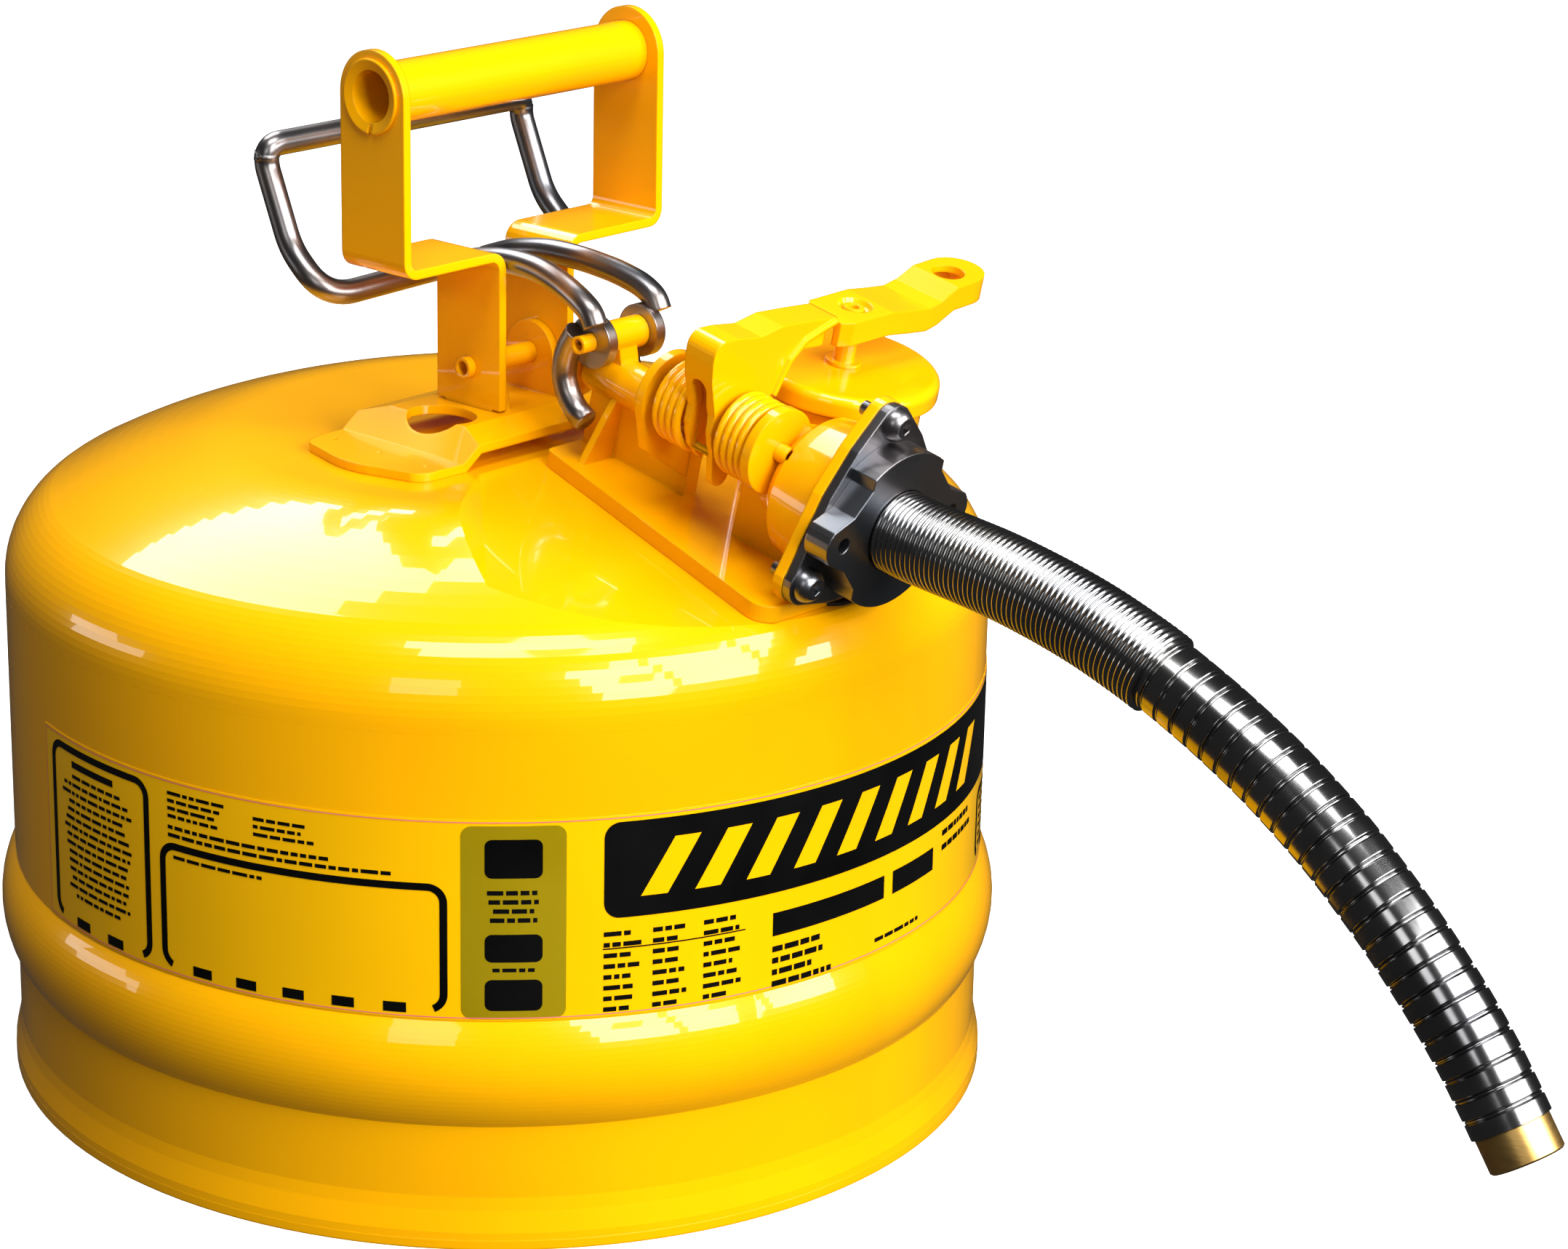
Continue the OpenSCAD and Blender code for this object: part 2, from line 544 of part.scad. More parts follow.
module lever_spring_rear() {
    c = coil(35.1, 2.52, 4, coil_r, 270, 20);
    color(yellow) loc() translate([0, hinge_y, hinge_z]) wire(concat([[35, 5.6, -11.6]], c, [[45.22, 4,
        -10.9]]), coil_wire, 8,
        [1, 0.02, 0.01]);
}
module lever_spring_front() {
    c = coil(58.3, 2.52, 4, coil_r, 270, 20);
    color(yellow) loc() translate([0, hinge_y, hinge_z]) wire(concat([[58.25, 3, -10.9]], c, [[68.42,
        5.6, -11.6]]), coil_wire, 8,
        [1, 0.02, 0.01]);
}
module fill_cap() {
    h = 6.5;
    color(yellow) loc() translate([neck_x, neck_y, cap_top - h]) difference() {
        rotate_extrude() polygon(concat([[0, 2.2], [24.9, 2.2], [24.9, 0], [26, 0]], arc(cap_r - 1, 1, 1,
            270, 360, 3),
            arc(cap_r - 2.4, h - 2.4, 2.4, 0, 90, 6), [[0, h]]));
        translate([0, -post_back, -1]) cylinder(h = 20, r = 2.02, $fn = 32);
    }
}
module cap_gasket() {
    color(rubber) loc() translate([neck_x, neck_y, 12.58]) difference() {
        cylinder(h = 2.9, r = 24.8);
        translate([0, 0, -1]) cylinder(h = 6, r = 15);
    }
}
module cap_post() {
    color(yellow) loc() translate([neck_x, neck_y - post_back, 0]) difference() {
        union() {
            translate([0, 0, cap_top - 4.6]) cylinder(h = 20, r = 2, $fn = 32);
            translate([0, 0, cap_top + e]) cylinder(h = 1, r = 5.2, $fn = 48);
            translate([0, 0, cap_top + e]) cylinder(h = 36.6 - cap_top, r = 3, $fn = 48);
        }
        translate([0, 0, 33]) cylinder(h = 20, r = 1.5, $fn = 32);
        translate([0, 0, 37.6]) cylinder(h = 20, r = 10);
    }
}

// ---- hose end of the manifold ----
module hose_flange() {
    color(dark) loc() difference() {
        alongx(95.02, 98) polygon(flange_out(0));
        cylx(90, 100, 10);
        for (q = tri) cylx(90, 100, 2.6, q[1] * cos(q[0]), q[1] * sin(q[0]), 32);
    }
}
module screw_at(k) {
    q = tri[k];
    color(dark) loc() translate([0, q[1] * cos(q[0]), q[1] * sin(q[0])]) difference() {
        union() {
            cylx(87, 98.1, 2.08, f = 32);
            revx() polygon(concat([[0, 98.02], [4.9, 98.02], [4.9, 98.5]], arc(0, 98, 4.9, 12, 48, 4),
                [[2.9, 101.9], [0, 101.9]]));
        }
        translate([99.6, 0, 0]) rotate([0, 90, 0]) cylinder(h = 5, r = 1.75, $fn = 6);
    }
}
module flange_screw_top() { screw_at(0); }
module flange_screw_right() { screw_at(1); }
module flange_screw_left() { screw_at(2); }
module hose_collar() {
    ring = concat(arc(0, 0, 22.5, 52, 128, 12), [[-13.9, 14.6], [-19.6, 8]], arc(-22, 0.5, 6.6, 135, 225,
        6),
        [[-19.6, -8], [-13.9, -14.6]], arc(0, 0, 22.5, 232, 308, 12), [[13.9, -14.6], [19.6, -8]],
        arc(22, 0.5, 6.6, -45, 45, 6), [[19.6, 8], [13.9, 14.6]]);
    color(dark) loc() difference() {
        alongx(98.02, 106.1) polygon(ring);
        cylx(90, 110, hose_r + 0.12);
        for (s = [-1, 1]) cylx(90, 110, 2.25, s * 22, 0.5, 32);
    }
}
module hose_nipple() {
    color(steel) loc() difference() {
        revx() polygon([[0, 98.04], [hose_r, 98.04], [hose_r, 100.4], [hose_bore - 0.3, 100.5],
            [hose_bore - 0.3, 112], [hose_bore - 0.8, 113], [0, 113]]);
        cylx(95, 125, 6.6);
    }
}
// hose centreline in the XZ plane: straight out of the collar, then drooping
route = [[147.3, 194.16], [152.6, 193.04], [160, 191.8], [170, 190.7], [178, 189.9], [186.3, 188.9],
    [196, 187.3],
    [207.8, 184.9], [219.5, 181.9], [231.1, 178.1], [239.9, 174.8], [240.3, 174.6], [253.5, 168.8],
        [264.3, 163.4],
    [274.9, 157.5], [285, 151], [294.9, 144], [304.3, 136.3], [313.4, 128.2], [322.1, 119.7], [330.4,
        110.9],
    [338.2, 101.6], [345.2, 92], [348.1, 87.8]];
step_x = 240;
module hose_tube() {
    n = 20;
    m = len(route);
    p = [for (q = route) [q[0], 0, q[1]]];
    function nrm(i) = let(t = tang(p, i)) [-t[2], 0, t[0]];
    function ringp(i, r) = [for (k = [0:n - 1]) let(a = 360 * k / n)
        p[i] + r * (cos(a) * nrm(i) + sin(a) * [0, 1, 0])];
    pts = concat([for (i = [0:m - 1]) each ringp(i, route[i][0] < step_x ? hose_r : band_r)],
        [for (i = [0:m - 1]) each ringp(i, hose_bore)]);
    q = m * n;
    f = concat([for (i = [0:m - 2]) for (k = [0:n - 1]) let(j = (k + 1) % n, a = i * n)
        each [[a + k, a + n + j, a + n + k], [a + k, a + j, a + n + j],
              [q + a + k, q + a + n + k, q + a + n + j], [q + a + k, q + a + n + j, q + a + j]]],
        [for (k = [0:n - 1]) let(j = (k + 1) % n, a = (m - 1) * n)
            each [[k, q + k, q + j], [k, q + j, j], [a + k, q + a + j, q + a + k], [a + k, a + j,
                q + a + j]]]);
    color([0.45, 0.45, 0.47]) polyhedron(pts, f);
}
module hose_tip() {
    last = route[len(route) - 1];
    d = last - route[len(route) - 2];
    in = hose_bore * cos(9) - 0.1;
    color(brass) translate([last[0], 0, last[1]]) rotate([0, atan2(d[0], d[1]), 0])
        rotate_extrude() polygon([[in - 1.2, -8], [in, -8], [in, e], [tip_r - 0.2, e],
            [tip_r, 0.3], [tip_r, tip_len - 0.5], [tip_r - 0.5, tip_len], [in - 1.2, tip_len]]);
}

body_shell();
dome_top();
base_rim();
bottom_pan();
label();
saddle_bracket();
handle_pin();
handle_strap_left();
handle_strap_right();
grip_tube();
manifold();
fill_neck();
manifold_gasket();
fill_arrester();
pour_arrester();
valve_stem();
plunger_disc();
valve_disc();
valve_seal();
valve_spring();
trigger_wire();
trigger_hub_left();
trigger_hub_right();
trigger_pin();
lever_hood();
lever_arm();
lever_pin();
lever_spring_rear();
lever_spring_front();
fill_cap();
cap_gasket();
cap_post();
hose_flange();
flange_screw_top();
flange_screw_left();
flange_screw_right();
hose_collar();
hose_nipple();
hose_tube();
hose_tip();
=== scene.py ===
"""Looks for a two-opening steel safety can: powder-coated body, chromed trigger and metal hose."""
import json
import random
from math import cos, hypot, pi, radians, sin

import bpy
import numpy as np
from mathutils import Matrix, Vector


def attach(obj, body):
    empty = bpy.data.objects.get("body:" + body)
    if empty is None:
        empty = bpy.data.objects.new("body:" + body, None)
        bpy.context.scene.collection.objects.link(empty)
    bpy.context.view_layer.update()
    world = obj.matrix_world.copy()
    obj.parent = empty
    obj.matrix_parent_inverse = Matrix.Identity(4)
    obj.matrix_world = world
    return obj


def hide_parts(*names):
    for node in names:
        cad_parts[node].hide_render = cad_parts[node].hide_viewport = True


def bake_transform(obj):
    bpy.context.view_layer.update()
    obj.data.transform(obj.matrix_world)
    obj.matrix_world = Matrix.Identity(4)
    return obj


MM = 0.001
TILT = radians(12)
MANIFOLD = Vector((0.0488, 0, 0.2151))

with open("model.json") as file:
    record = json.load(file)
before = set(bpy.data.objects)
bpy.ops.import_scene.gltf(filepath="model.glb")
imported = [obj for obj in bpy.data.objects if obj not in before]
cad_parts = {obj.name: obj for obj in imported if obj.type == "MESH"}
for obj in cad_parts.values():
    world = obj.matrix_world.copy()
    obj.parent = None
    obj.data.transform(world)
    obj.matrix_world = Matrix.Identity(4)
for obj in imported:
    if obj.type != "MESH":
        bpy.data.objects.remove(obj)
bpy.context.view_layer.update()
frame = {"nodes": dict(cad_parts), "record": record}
nodes = frame["nodes"]
slot_of = {part["node"]: part["material_slot"] for part in frame["record"]["subparts"]}


def local(x, y, z):
    """A point given in millimetres in the manifold's tilted frame, in the row frame in metres."""
    return MANIFOLD + Matrix.Rotation(TILT, 3, "Y") @ Vector((x, y, z)) * MM


# ---- materials ----
def link(tree, output, target):
    tree.links.new(output, target)


def noise(tree, coords, scale, detail, stretch=(1, 1, 1)):
    """A noise texture in the row frame, stretched along the axes where a finish has a direction."""
    mapping = tree.nodes.new("ShaderNodeMapping")
    mapping.inputs["Scale"].default_value = stretch
    link(tree, coords, mapping.inputs["Vector"])
    texture = tree.nodes.new("ShaderNodeTexNoise")
    texture.inputs["Scale"].default_value = scale
    texture.inputs["Detail"].default_value = detail
    link(tree, mapping.outputs["Vector"], texture.inputs["Vector"])
    return texture.outputs["Fac"]


def finish(name, colours, roughness, metallic, patch, grain, relief, stretch=(1, 1, 1), edge=0.0,
           **constants):
    """A material whose colour and roughness drift over patches and whose surface has a fine grain.

    colours and roughness are (low, high) pairs, patch and grain are noise scales per metre, relief is
    the grain's height in metres, and edge rounds sharp edges to that radius in metres. Each constant is
    an input of the shader, with underscores for its spaces."""
    material = bpy.data.materials.new(name)
    material.use_nodes = True
    tree = material.node_tree
    shader = tree.nodes["Principled BSDF"]
    coords = tree.nodes.new("ShaderNodeTexCoord").outputs["Object"]
    drift = noise(tree, coords, patch, 3)
    ramp = tree.nodes.new("ShaderNodeValToRGB")
    for stop, colour, place in zip(ramp.color_ramp.elements, colours, (0.35, 0.65)):
        stop.color = (*colour, 1)
        stop.position = place
    link(tree, drift, ramp.inputs["Fac"])
    link(tree, ramp.outputs["Color"], shader.inputs["Base Color"])
    spread = tree.nodes.new("ShaderNodeMapRange")
    spread.inputs["To Min"].default_value, spread.inputs["To Max"].default_value = roughness
    link(tree, noise(tree, coords, patch * 3, 4, stretch), spread.inputs["Value"])
    link(tree, spread.outputs["Result"], shader.inputs["Roughness"])
    bump = tree.nodes.new("ShaderNodeBump")
    bump.inputs["Strength"].default_value = 1
    bump.inputs["Distance"].default_value = relief
    link(tree, noise(tree, coords, grain, 2, stretch), bump.inputs["Height"])
    link(tree, bump.outputs["Normal"], shader.inputs["Normal"])
    if edge:
        bevel = tree.nodes.new("ShaderNodeBevel")
        bevel.samples = 6
        bevel.inputs["Radius"].default_value = edge
        link(tree, bevel.outputs["Normal"], bump.inputs["Normal"])
    shader.inputs["Metallic"].default_value = metallic
    for socket, value in constants.items():
        shader.inputs[socket.replace("_", " ")].default_value = value
    return material


YELLOW = ((0.87, 0.385, 0.0), (0.93, 0.425, 0.0))
POWDER = (YELLOW, (0.16, 0.24), 0.0, 9, 420, 0.00002)
LACQUER = {"Coat_Weight": 0.75, "Coat_Roughness": 0.02, "Specular_IOR_Level": 0.12}
FINISHES = {
    "yellow_coat": finish("yellow_coat", *POWDER, edge=0.0008, **LACQUER),
    "dark_chrome": finish("dark_chrome", ((0.2, 0.215, 0.24), (0.34, 0.285, 0.26)), (0.27, 0.35), 1.0,
                          25, 300, 0.000001, edge=0.0006),
    "hose": finish("hose", ((0.25, 0.25, 0.26), (0.36, 0.355, 0.35)), (0.15, 0.2), 1.0, 30, 200, 0.000001),
    "brass": finish("brass", ((0.62, 0.36, 0.1), (0.8, 0.5, 0.16)), (0.26, 0.42), 1.0,
                    40, 300, 0.00002, stretch=(1, 1, 14)),
    "steel": finish("steel", ((0.42, 0.42, 0.43), (0.56, 0.56, 0.56)), (0.3, 0.45), 1.0,
                    30, 700, 0.00002, stretch=(1, 8, 1)),
    "rubber": finish("rubber", ((0.012, 0.012, 0.012), (0.03, 0.03, 0.03)), (0.6, 0.75), 0.0,
                     40, 900, 0.00004),
    "label": finish("label", ((0.88, 0.45, 0.0), (0.92, 0.48, 0.0)), (0.2, 0.26), 0.0, 12, 500, 0.00001,
                    **LACQUER),
}
INK = finish("ink_black", ((0.001, 0.001, 0.001), (0.003, 0.003, 0.003)), (0.3, 0.4), 0.0,
             30, 600, 0.000004, Specular_IOR_Level=0.15)
OLIVE = finish("ink_olive", ((0.27, 0.19, 0.0), (0.3, 0.215, 0.002)), (0.2, 0.3), 0.0, 30, 600, 0.000008,
               Coat_Weight=0.5, Coat_Roughness=0.08)
PINK = finish("ink_pink", ((0.75, 0.14, 0.16), (0.8, 0.18, 0.18)), (0.25, 0.35), 0.0, 30, 600, 0.000008)

# The body and dome meet in a hairline gap, so their finish doesn't round edges.
SHELL = finish("yellow_shell", *POWDER, **LACQUER)

for node_name, node_object in nodes.items():
    node_object.data.materials.clear()
    shell = node_name in ("body_shell", "dome_top")
    node_object.data.materials.append(SHELL if shell else FINISHES[slot_of[node_name]])


# ---- mesh helpers ----
def new_piece(name, vertices, faces, material, body, slot=None, smooth_angle=40):
    """A mesh piece, smooth except at edges sharper than smooth_angle degrees, riding on a body if given."""
    mesh = bpy.data.meshes.new(name)
    mesh.from_pydata([tuple(v) for v in vertices], [], faces)
    mesh.materials.append(material)
    mesh.shade_smooth()
    mesh.set_sharp_from_angle(angle=radians(smooth_angle))
    piece = bpy.data.objects.new(name, mesh)
    bpy.context.scene.collection.objects.link(piece)
    if body:
        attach(piece, body)
    return piece


def rounded_corners(points, cuts, steps):
    """A polyline whose inner corners are replaced by short curves that start a cut's length before each."""
    result = [points[0]]
    for before, corner, after, cut in zip(points, points[1:], points[2:], cuts[1:]):
        if cut == 0:
            result.append(corner)
            continue
        a = corner + (before - corner).normalized() * cut
        b = corner + (after - corner).normalized() * cut
        for k in range(steps + 1):
            t = k / steps
            result.append(a * (1 - t) ** 2 + corner * 2 * t * (1 - t) + b * t * t)
    result.append(points[-1])
    return result


def through(points, step):
    """Points every step metres along a smooth curve through the given ones, and how far along each is."""
    rows = [2 * points[0] - points[1], *points, 2 * points[-1] - points[-2]]
    splits = 40
    fine = []
    for a, b, c, d in zip(rows, rows[1:], rows[2:], rows[3:]):
        for k in range(splits):
            t = k / splits
            fine.append(0.5 * (2 * b + (c - a) * t + (2 * a - 5 * b + 4 * c - d) * t ** 2
                               + (3 * b - a - 3 * c + d) * t ** 3))
    fine.append(points[-1])
    places = np.array(fine)
    run = np.concatenate([[0], np.cumsum(np.linalg.norm(np.diff(places, axis=0), axis=1))])
    marks = np.append(np.arange(0, run[-1] - step / 2, step), run[-1])
    even = np.stack([np.interp(marks, run, places[:, axis]) for axis in range(3)], axis=1)
    return [Vector(p) for p in even], marks


def tube(points, radii, sides, bore=0.0):
    """Vertices and faces of a round tube along points, closed at its ends or open through a bore."""
    vertices, faces = [], []
    shells = [radii] if not bore else [radii, [bore] * len(points)]
    for radius_row in shells:
        side = None
        for i, (point, radius) in enumerate(zip(points, radius_row)):
            tangent = (points[min(i + 1, len(points) - 1)] - points[max(i - 1, 0)]).normalized()
            side = side or tangent.orthogonal()
            side = (side - tangent * side.dot(tangent)).normalized()
            other = tangent.cross(side)
            for k in range(sides):
                angle = 2 * pi * k / sides
                vertices.append(point + (side * cos(angle) + other * sin(angle)) * radius)
    rings = len(points)
    for s, flip in zip(range(len(shells)), (False, True)):
        for i in range(rings - 1):
            for k in range(sides):
                a = (s * rings + i) * sides
                quad = [a + k, a + (k + 1) % sides, a + sides + (k + 1) % sides, a + sides + k]
                faces.append(quad[::-1] if flip else quad)
    if bore:
        for i, flip in ((0, True), (rings - 1, False)):
            for k in range(sides):
                j = (k + 1) % sides
                outer, inner = i * sides, (rings + i) * sides
                quad = [outer + k, outer + j, inner + j, inner + k]
                faces.append(quad[::-1] if flip else quad)
    else:
        faces.append(list(range(sides))[::-1])
        faces.append([(rings - 1) * sides + k for k in range(sides)])
    return vertices, faces


# ---- camera ----
camera = bpy.data.objects.new("camera", bpy.data.cameras.new("camera"))
bpy.context.scene.collection.objects.link(camera)
bpy.context.scene.camera = camera
camera.location = (0.78826, -0.76850, 0.50452)
camera.rotation_euler = (radians(90 - 17.263), 0, radians(45.727))
camera.data.lens = 89.78
camera.data.shift_x = 0.1829
camera.data.shift_y = -0.0676

# ---- hose ----
ROUTE = [(152.6, 193.04), (160, 191.8), (170, 190.7), (178, 189.9), (186.3, 188.9), (196, 187.3),
         (207.8, 184.9), (219.5, 181.9), (231.1, 178.1), (240.1, 174.7), (253.5, 168.8), (264.3, 163.4),
         (274.9, 157.5), (285, 151), (294.9, 144), (304.3, 136.3), (313.4, 128.2), (322.1, 119.7),
         (330.4, 110.9), (338.2, 101.6), (345.2, 92), (348.1, 87.8)]
WOUND_R, BAND_R, HOSE_BORE = 0.0116, 0.01035, 0.008
WOUND_PITCH, BAND_PITCH = 0.00165, 0.00537
STEP_X = 0.2401  # where the close-wound section ends
GROOVE = 0.26  # share of a band's pitch that its groove takes


def wound_radius(distance):
    """Close-wound round wire: a rounded crest for each turn."""
    return WOUND_R - 0.0005 * (1 - abs(sin(pi * distance / WOUND_PITCH)))


def band_radius(distance):
    """Interlocked strip: a flat band, then a narrow groove with a low bead in it."""
    t = distance / BAND_PITCH % 1
    stops = [0, 0.03, 0.06, 0.14, 0.17, 0.2, 0.225, GROOVE, 1]
    depths = [0.75, 0.75, 0.4, 0.35, 0.75, 0.75, 0.12, 0, 0]
    return BAND_R - np.interp(t, stops, depths) * MM


route = [Vector((x * MM, 0, z * MM)) for x, z in ROUTE]
hose_points, hose_marks = through(route, WOUND_PITCH / 10)
step_at = next(mark for point, mark in zip(hose_points, hose_marks) if point.x > STEP_X)
hose_end = hose_marks[-1]
radii = [wound_radius(mark) if mark < step_at else band_radius(hose_end - mark + GROOVE * BAND_PITCH)
         for mark in hose_marks]
metal_hose = new_piece("metal_hose", *tube(hose_points, radii, 48, HOSE_BORE), FINISHES["hose"],
                       "can", "hose", 60)
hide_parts("hose_tube")

# ---- trigger wire and springs ----
WIRE_R = 0.0036
BAIL = [(52.4, -12.9, 232.8), (50.6, -12.9, 236.4), (46, -12.6, 239.2), (38, -11.2, 241.8), (26, -9, 244),
        (12, -8.4, 244.2), (-2, -8.4, 241.8), (-17.2, -8.8, 236.4), (-17.6, -51, 235), (-32, -51, 247),
        (-42.2, -51, 270.5), (-41.3, -51, 275.6)]
# How far before and after each corner its bend starts.
BAIL_CUTS = [0, 2, 3, 4, 6, 6, 6, 7, 11, 5, 3, 4.5]
HOOK = [(45.4, 230), (42.6, 226), (40.6, 221.4), (40, 216.6), (41.6, 211.6), (44.8, 207.4), (49.2, 204.6)]
HOOK_CUTS = [0, 2, 2, 2, 2, 2, 0]

HOOK_Y = 12.9
CUT_END = 0.86  # share of the wire's radius left where a hook's end is chamfered
CHAMFER = 0.0005

half = [Vector(p) * MM for p in BAIL]
loop = half + [Vector((p.x, -p.y, p.z)) for p in reversed(half)]
loop_cuts = [c * MM for c in BAIL_CUTS + BAIL_CUTS[::-1]]
bail_points = rounded_corners(loop, loop_cuts, 10)
vertices, faces = tube(bail_points, [WIRE_R] * len(bail_points), 28)
for sign in (-1, 1):
    hook_points = rounded_corners([Vector((x, sign * HOOK_Y, z)) * MM for x, z in HOOK],
                                  [c * MM for c in HOOK_CUTS], 6)
    hook_radii = [WIRE_R] * (len(hook_points) - 1) + [WIRE_R * CUT_END]
    hook_points[-2] = hook_points[-1] - (hook_points[-1] - hook_points[-2]).normalized() * CHAMFER
    more_vertices, more_faces = tube(hook_points, hook_radii, 28)
    faces += [[index + len(vertices) for index in face] for face in more_faces]
    vertices += more_vertices
trigger_bail = new_piece("trigger_bail", vertices, faces, FINISHES["dark_chrome"], "trigger",
                         "dark_chrome", 50)
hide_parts("trigger_wire")

HINGE_Y, HINGE_Z = -14, 11.6
COIL_R, COIL_PITCH, COIL_WIRE_R = 10.75, 2.52, 0.00122
COIL_TURNS, COIL_STEPS = 4, 32


def coil(start, pitch, radius, phase):
    """Points of a coil along the manifold's axis, in millimetres in its frame."""
    angles = [(i, phase + 2 * pi * i / COIL_STEPS) for i in range(COIL_STEPS * COIL_TURNS + 1)]
    return [(start + pitch * i / COIL_STEPS, radius * cos(a), radius * sin(a)) for i, a in angles]


def hinge_spring(name, node, start, first, last):
    """A coil round the lever's hinge, with a straight end at each side."""
    line = [first, *coil(start, COIL_PITCH, COIL_R, -pi / 2), last]
    points = [local(x, HINGE_Y + y, HINGE_Z + z) for x, y, z in line]
    piece = new_piece(name, *tube(points, [COIL_WIRE_R] * len(points), 16), FINISHES["yellow_coat"], "can",
                      "yellow_coat", 60)
    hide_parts(node)


hinge_spring("spring_rear", "lever_spring_rear", 35.1, (35, 5.6, -11.6), (45.22, 4, -10.9))
hinge_spring("spring_front", "lever_spring_front", 58.3, (58.25, 3, -10.9), (68.42, 5.6, -11.6))

# The valve's return spring stands on the casting. In the valve the disc shortens it as the plunger moves;
# this coil keeps one length.
SPRING_START, SPRING_PITCH, SPRING_R, SPRING_WIRE_R = 77.73, 2.53, 7, 0.0007
turns = [local(*place) for place in coil(SPRING_START, SPRING_PITCH, SPRING_R, 0)]
vertices, faces = tube(turns, [SPRING_WIRE_R] * len(turns), 12)
valve_coil = new_piece("valve_coil", vertices, faces, FINISHES["steel"], None, "steel", 60)
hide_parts("valve_spring")
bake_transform(valve_coil)

# ---- printed label ----
# The prints lie just outside the label. Sizes are in millimetres and places round the can in degrees.
PRINT_R = 144.83
COLUMN = 2.5  # longest stretch of a print between two columns of points
LINE = 2.1  # width of a frame's line
WORD_GAP = 0.7
DASH_SHARE = 0.44
prints = {"ink_black": ([], []), "ink_olive": ([], []), "ink_pink": ([], []), "ink_yellow": ([], [])}


def on_wall(run, height):
    """A point on the label, from millimetres along the wall and up."""
    return Vector((PRINT_R * cos(run / PRINT_R), PRINT_R * sin(run / PRINT_R), height)) * MM


def run_of(degrees):
    """Millimetres along the wall for an angle round the can."""
    return radians(degrees) * PRINT_R


def ribbon(ink, pairs, keep=lambda a, b: True):
    """Quads between two rows of points, given as pairs of (run, height), where keep allows them."""
    vertices, faces = prints[ink]
    for (a, b), (c, d) in zip(pairs, pairs[1:]):
        if keep(a, c):
            first = len(vertices)
            vertices.extend(on_wall(*p) for p in (a, c, d, b))
            faces.append([first, first + 1, first + 2, first + 3])


def columns(start, end):
    """Evenly spaced runs from start to end, close enough to follow the wall."""
    count = max(2, int(abs(end - start) / COLUMN) + 2)
    return [start + (end - start) * i / (count - 1) for i in range(count)]


def block(ink, start, end, low, high, corner=0.0):
    """A filled rectangle with rounded corners."""
    bend = [corner * (1 - cos(i / 8 * pi / 2)) for i in range(8)] if corner else []
    runs = [start + cut for cut in bend] + columns(start + corner, end - corner)
    runs += [end - cut for cut in reversed(bend)]
    pairs = []
    for run in runs:
        near = min(run - start, end - run, corner)
        drop = corner - (corner ** 2 - (corner - near) ** 2) ** 0.5 if corner else 0
        pairs.append(((run, low + drop), (run, high - drop)))
    ribbon(ink, pairs)


def outline(start, end, low, high, corner, dashes):
    """A rounded frame drawn with a line, its bottom edge dashed."""
    path = []
    for cx, cz, quarter in ((end - corner, high - corner, 0), (start + corner, high - corner, 1),
                            (start + corner, low + corner, 2), (end - corner, low + corner, 3)):
        for k in range(9):
            angle = (quarter + k / 8) * pi / 2
            path.append((cx, cz, cos(angle), sin(angle)))
    path.append(path[0])
    pairs = []
    inset = corner - LINE
    for a, b in zip(path, path[1:]):
        length = hypot(b[0] - a[0] + corner * (b[2] - a[2]), b[1] - a[1] + corner * (b[3] - a[3]))
        steps = max(1, int(length / 1.2))
        for k in range(steps + 1):
            t = k / steps
            x, z, u, v = (p + (q - p) * t for p, q in zip(a, b))
            pairs.append(((x + u * corner, z + v * corner), (x + u * inset, z + v * inset)))

    def keep(a, b):
        middle = (a[0] + b[0]) / 2 - start
        return a[1] > low + LINE or corner * 0.7 > min(middle, end - start - middle)
    ribbon("ink_black", pairs, keep)
    pitch = (end - start) / dashes
    half_dash = DASH_SHARE / 2 * pitch
    for k in range(1, dashes):
        middle = start + k * pitch
        block("ink_black", middle - half_dash, middle + half_dash, low - 0.2, low + 2.7)


def text_rows(start, end, top, rows, pitch, height, seed, centred=False):
    """Rows of short dashes that stand for small print, between two angles round the can."""
    dice = random.Random(seed)
    start, end = run_of(start), run_of(end)
    for row in range(rows):
        width = (end - start) * dice.uniform(0.6, 1)
        run = start + ((end - start) - width) / 2 if centred else start
        stop = run + width
        row_top = top - row * pitch
        while run < stop - 1:
            word = min(dice.uniform(1.4, 5), stop - run)
            block("ink_black", run, run + word, row_top - height, row_top)
            run += word + WORD_GAP


def slanted(start, width, lean, low, high):
    """A leaning stripe."""
    def ends(run):
        floor_z = low if run < start + width else low + (run - start - width) * (high - low) / lean
        roof_z = low + (run - start) * (high - low) / lean if run < start + lean else high
        return floor_z, roof_z
    runs = sorted({*columns(start, start + width + lean), start + width, start + lean})
    ribbon("ink_yellow", [((run, ends(run)[0]), (run, ends(run)[1])) for run in runs])


# Layout: text_rows takes angles, heights from the floor, a row pitch, a dash height and a seed.
LABEL_LOW, LABEL_HIGH, LABEL_EDGE = 67.2, 124.4, 105.5
edge_run = run_of(LABEL_EDGE)
for low in (LABEL_LOW + 0.5, LABEL_HIGH - 0.8):
    block("ink_pink", -edge_run + 0.5, edge_run - 0.5, low, low + 0.3)
for start in (-edge_run + 0.5, edge_run - 0.8):
    block("ink_pink", start, start + 0.3, LABEL_LOW + 0.5, LABEL_HIGH - 0.5)
outline(run_of(-103.7), run_of(-85.1), 68.6, 122.1, 5.5, 3)
outline(run_of(-83.6), run_of(-49.5), 68.9, 106.2, 5.5, 6)
block("ink_black", run_of(-99), run_of(-91), 116, 118)
text_rows(-101.4, -87.4, 114, 15, 2.55, 1.05, 1, centred=True)
text_rows(-82.3, -74, 121, 4, 2.2, 1.0, 2)
text_rows(-71, -62, 119.4, 3, 2.2, 1.0, 3)
text_rows(-82.3, -53.5, 111.2, 2, 2.3, 1.1, 4)
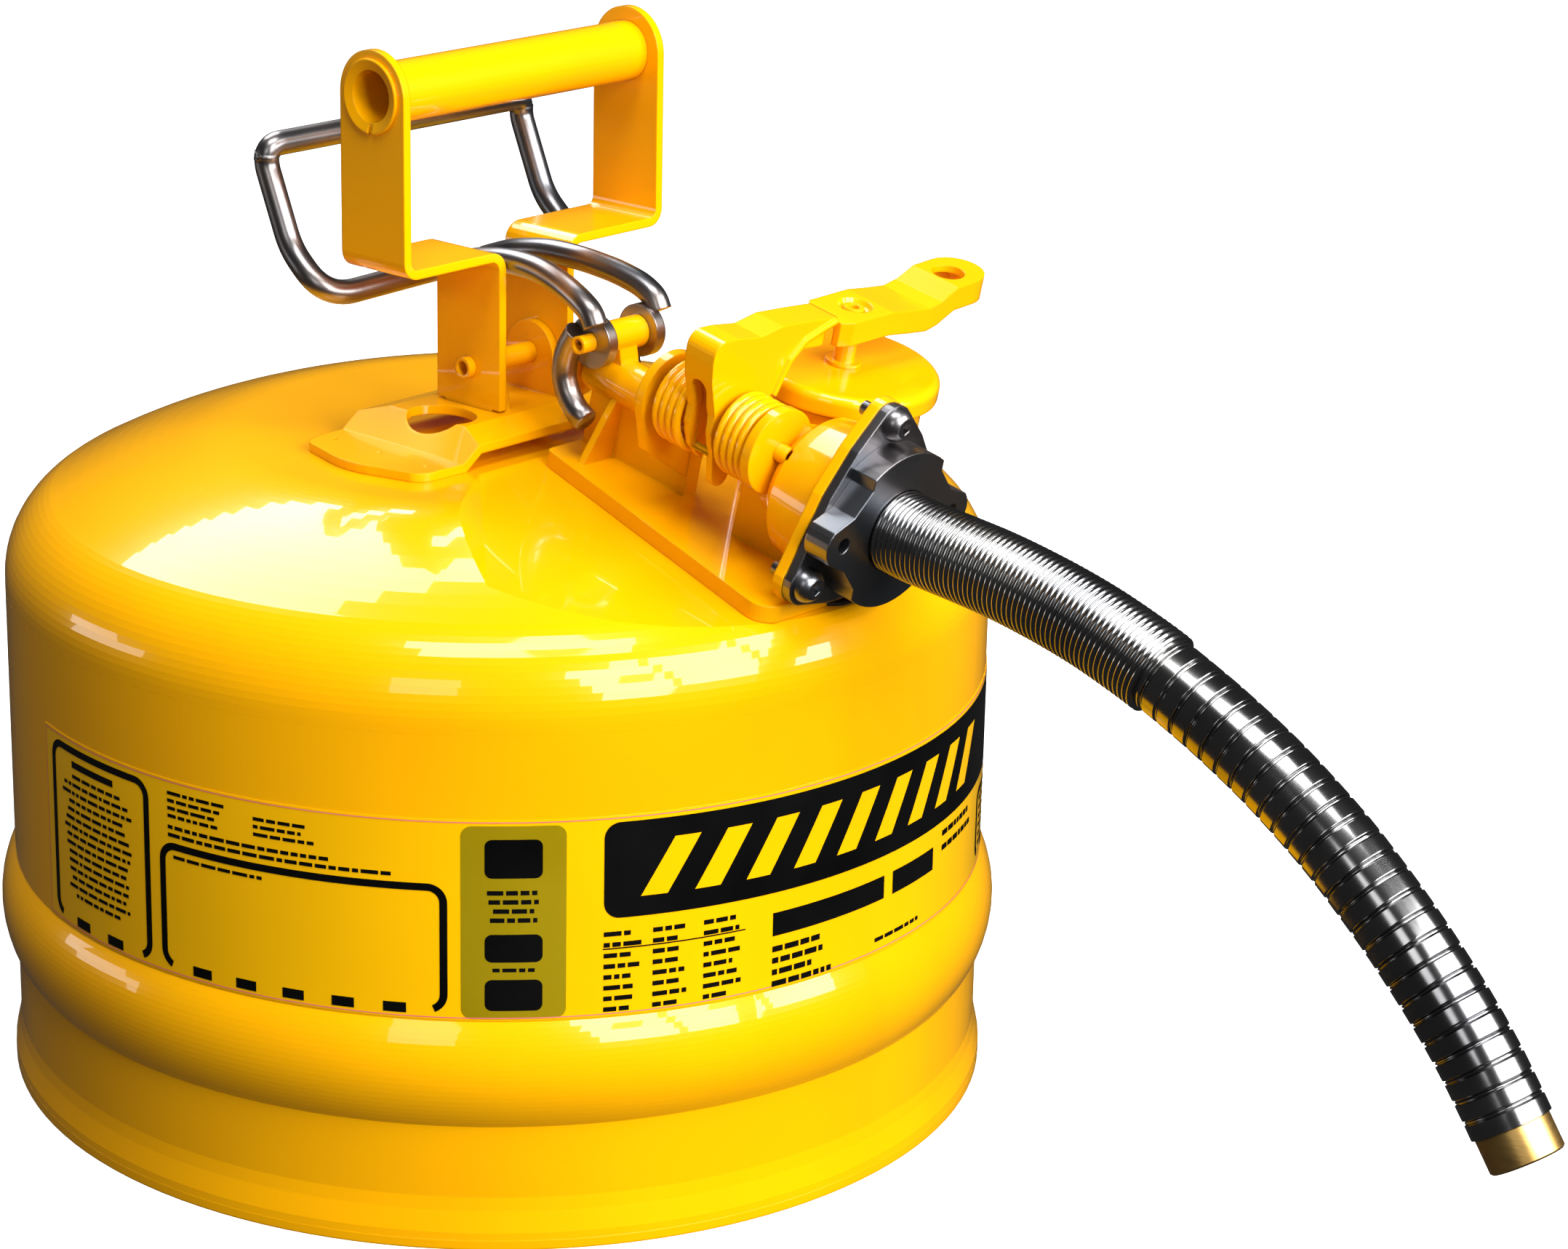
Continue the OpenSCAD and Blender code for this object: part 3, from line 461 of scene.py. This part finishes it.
text_rows(-81.6, -68, 102.6, 1, 2.3, 1.0, 5)
block("ink_olive", run_of(-48.1), run_of(-37), 67.6, 122.8, 3)
for low, high in ((108, 119), (84, 92), (70, 79)):
    block("ink_black", run_of(-45.6), run_of(-39.5), low, high, 2)
text_rows(-45.6, -39.5, 104.5, 4, 2.6, 1.3, 6, centred=True)
text_rows(-45.6, -39.5, 82.3, 1, 2.6, 1.1, 7, centred=True)
block("ink_black", run_of(-33), edge_run - 4, 95.3, 122.6, 4.5)
for k in range(9):
    slanted(run_of(-29 + 6.1 * k), 7.5, 9.5, 101, 117)
for column, width, seed in ((-33, 5, 8), (-27.6, 4.6, 9), (-21.8, 4.6, 10)):
    text_rows(column, column + width, 91.5, 8, 3.1, 1.35, seed)
block("ink_black", run_of(-33.1), run_of(-16.8), 86.4, 86.8)
for start, end in ((-13.3, 3.4), (5, 13.7)):
    block("ink_black", run_of(start), run_of(end), 82.6, 89.4)
text_rows(-13.3, -5, 79.6, 4, 3.4, 1.7, 11)
text_rows(16, 27, 92.4, 2, 4.4, 1.7, 12)
text_rows(2, 14, 71.6, 1, 3, 1.2, 13)
for start, seed in ((30, 14), (52, 15), (74, 16)):
    outline(run_of(start), run_of(start + 19), 70, 91.5, 4.5, 3)
    text_rows(start + 2, start + 17, 88, 6, 2.8, 1.2, seed)
inks = {"ink_black": INK, "ink_olive": OLIVE, "ink_pink": PINK, "ink_yellow": FINISHES["label"]}
# How far each ink stands proud of the print radius, in metres, so that no two lie in one surface.
layers = {"ink_black": 0.00003, "ink_olive": 0.0, "ink_pink": 0.00001, "ink_yellow": 0.00006}
for ink, (ink_vertices, ink_faces) in prints.items():
    lifted = [v + Vector((v.x, v.y, 0)).normalized() * layers[ink] for v in ink_vertices]
    new_piece("print_" + ink, lifted, ink_faces, inks[ink], "can", "label")

# ---- studio ----
bpy.context.scene.view_settings.view_transform = "Standard"
floor_material = finish("studio_floor", ((0.8, 0.8, 0.8), (0.82, 0.82, 0.82)), (0.6, 0.7), 0.0, 2, 60, 0.0001,
                        Emission_Color=(1, 1, 1, 1), Emission_Strength=0.55)
floor_mesh = bpy.data.meshes.new("studio_floor")
floor_mesh.from_pydata([(-6, -6, 0), (6, -6, 0), (6, 6, 0), (-6, 6, 0)], [], [(0, 1, 2, 3)])
floor_mesh.materials.append(floor_material)
floor = bpy.data.objects.new("studio_floor", floor_mesh)
bpy.context.scene.collection.objects.link(floor)
floor.visible_glossy = False
floor.visible_diffuse = False

AIM = Vector((0.03, 0, 0.15))
BAR = 0.07  # width of a window's bars in metres


def panel(name, place, width, height, power, aim):
    """A soft rectangular white light facing a point."""
    data = bpy.data.lights.new(name, "AREA")
    data.shape = "RECTANGLE"
    data.size, data.size_y, data.energy = width, height, power
    light = bpy.data.objects.new(name, data)
    bpy.context.scene.collection.objects.link(light)
    light.location = place
    light.rotation_euler = (aim - place).to_track_quat("-Z", "Y").to_euler()


def window(name, azimuth, elevation, distance, panes, width, height, power):
    """Columns by rows of lit panes with bars between them, seen from AIM at those angles in degrees."""
    azimuth, elevation = radians(azimuth), radians(elevation)
    out = Vector((cos(azimuth) * cos(elevation), sin(azimuth) * cos(elevation), sin(elevation)))
    across = Vector((-sin(azimuth), cos(azimuth), 0))
    up = out.cross(across)
    for column in range(panes[0]):
        for row in range(panes[1]):
            shift = across * (column - (panes[0] - 1) / 2) * (width + BAR)
            shift += up * (row - (panes[1] - 1) / 2) * (height + BAR)
            panel(name, AIM + out * distance + shift, width, height, power, AIM + shift)


window("window", 6, 26, 2, (3, 2), 0.68, 0.6, 16)
window("skylight", 160, 52, 2, (1, 1), 1.2, 1.05, 34)
window("top", -35, 68, 2, (1, 1), 1.3, 0.6, 28)
window("front", -61, 22, 2, (1, 1), 0.5, 0.7, 3)
window("low_left", -140, 2, 2, (1, 1), 0.9, 0.3, 3)

world = bpy.data.worlds.new("studio")
bpy.context.scene.world = world
world.use_nodes = True
sky = world.node_tree
ray = sky.nodes.new("ShaderNodeLightPath")
ground = sky.nodes["World Output"].inputs["Surface"]


def backdrop(strength):
    """A plain white background of that strength."""
    node = sky.nodes.new("ShaderNodeBackground")
    node.inputs["Strength"].default_value = strength
    node.inputs["Color"].default_value = (1, 1, 1, 1)
    return node.outputs["Background"]


def choose(test, otherwise, then):
    """The second background for rays that pass the test, and the first for the others."""
    node = sky.nodes.new("ShaderNodeMixShader")
    link(sky, ray.outputs[test], node.inputs["Fac"])
    link(sky, otherwise, node.inputs[1])
    link(sky, then, node.inputs[2])
    return node.outputs["Shader"]


reflected = choose("Is Glossy Ray", backdrop(0.09), backdrop(0.035))
link(sky, choose("Is Camera Ray", reflected, backdrop(1.0)), ground)
